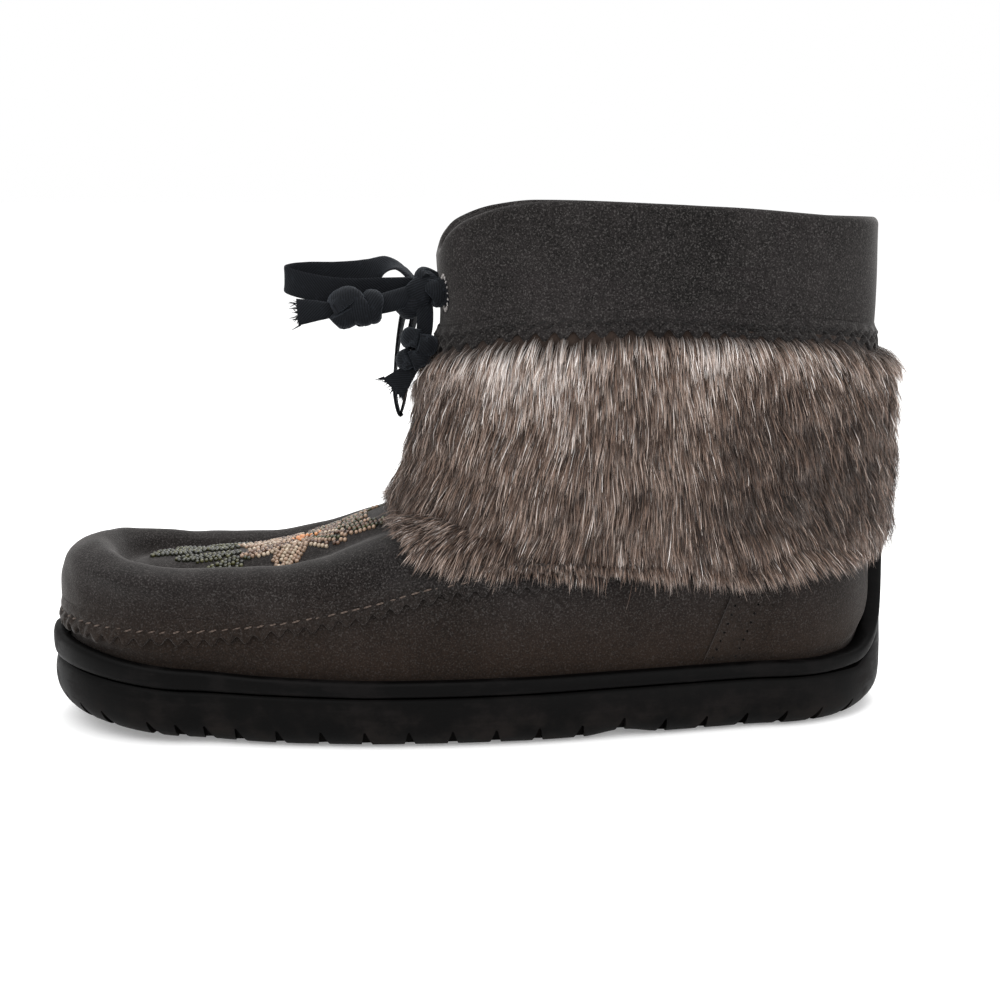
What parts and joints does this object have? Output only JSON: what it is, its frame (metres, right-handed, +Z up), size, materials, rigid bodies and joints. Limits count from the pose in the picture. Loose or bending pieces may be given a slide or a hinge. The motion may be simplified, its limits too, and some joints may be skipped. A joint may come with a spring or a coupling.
{
  "type": "mukluk boot",
  "caption": "Short suede mukluk with a moccasin toe and beaded plug, a deep fur cuff, a folded collar tied with a bow, and a rubber shell sole; left foot.",
  "frame": {"origin": "middle of the boot's length and width, on the floor that the sole stands on", "axes": "+X from the toe to the heel, +Y toward the foot's inner side, +Z up"},
  "size_m": [0.2904, 0.1058, 0.174],
  "materials": {
    "suede": "napped, dark grey brown",
    "rubber": "moulded, satin black",
    "fur": "rabbit fur on its hide, banded brown and grey with pale tips",
    "cotton": "black twill tape",
    "lining": "fleece",
    "beads": "opaque seed beads in tan, olive, brown and orange"
  },
  "bodies": {
    "root": {"outsole": "rubber", "welt": "rubber", "insole": "lining", "upper": "suede", "vamp_plug": "suede", "fur_cuff": "fur", "lace_bar": "cotton", "lace_knot": "cotton", "lace_loop_front": "cotton", "lace_loop_down": "cotton", "lace_end_front": "cotton", "lace_end_down": "cotton"}
  },
  "joints": []
}
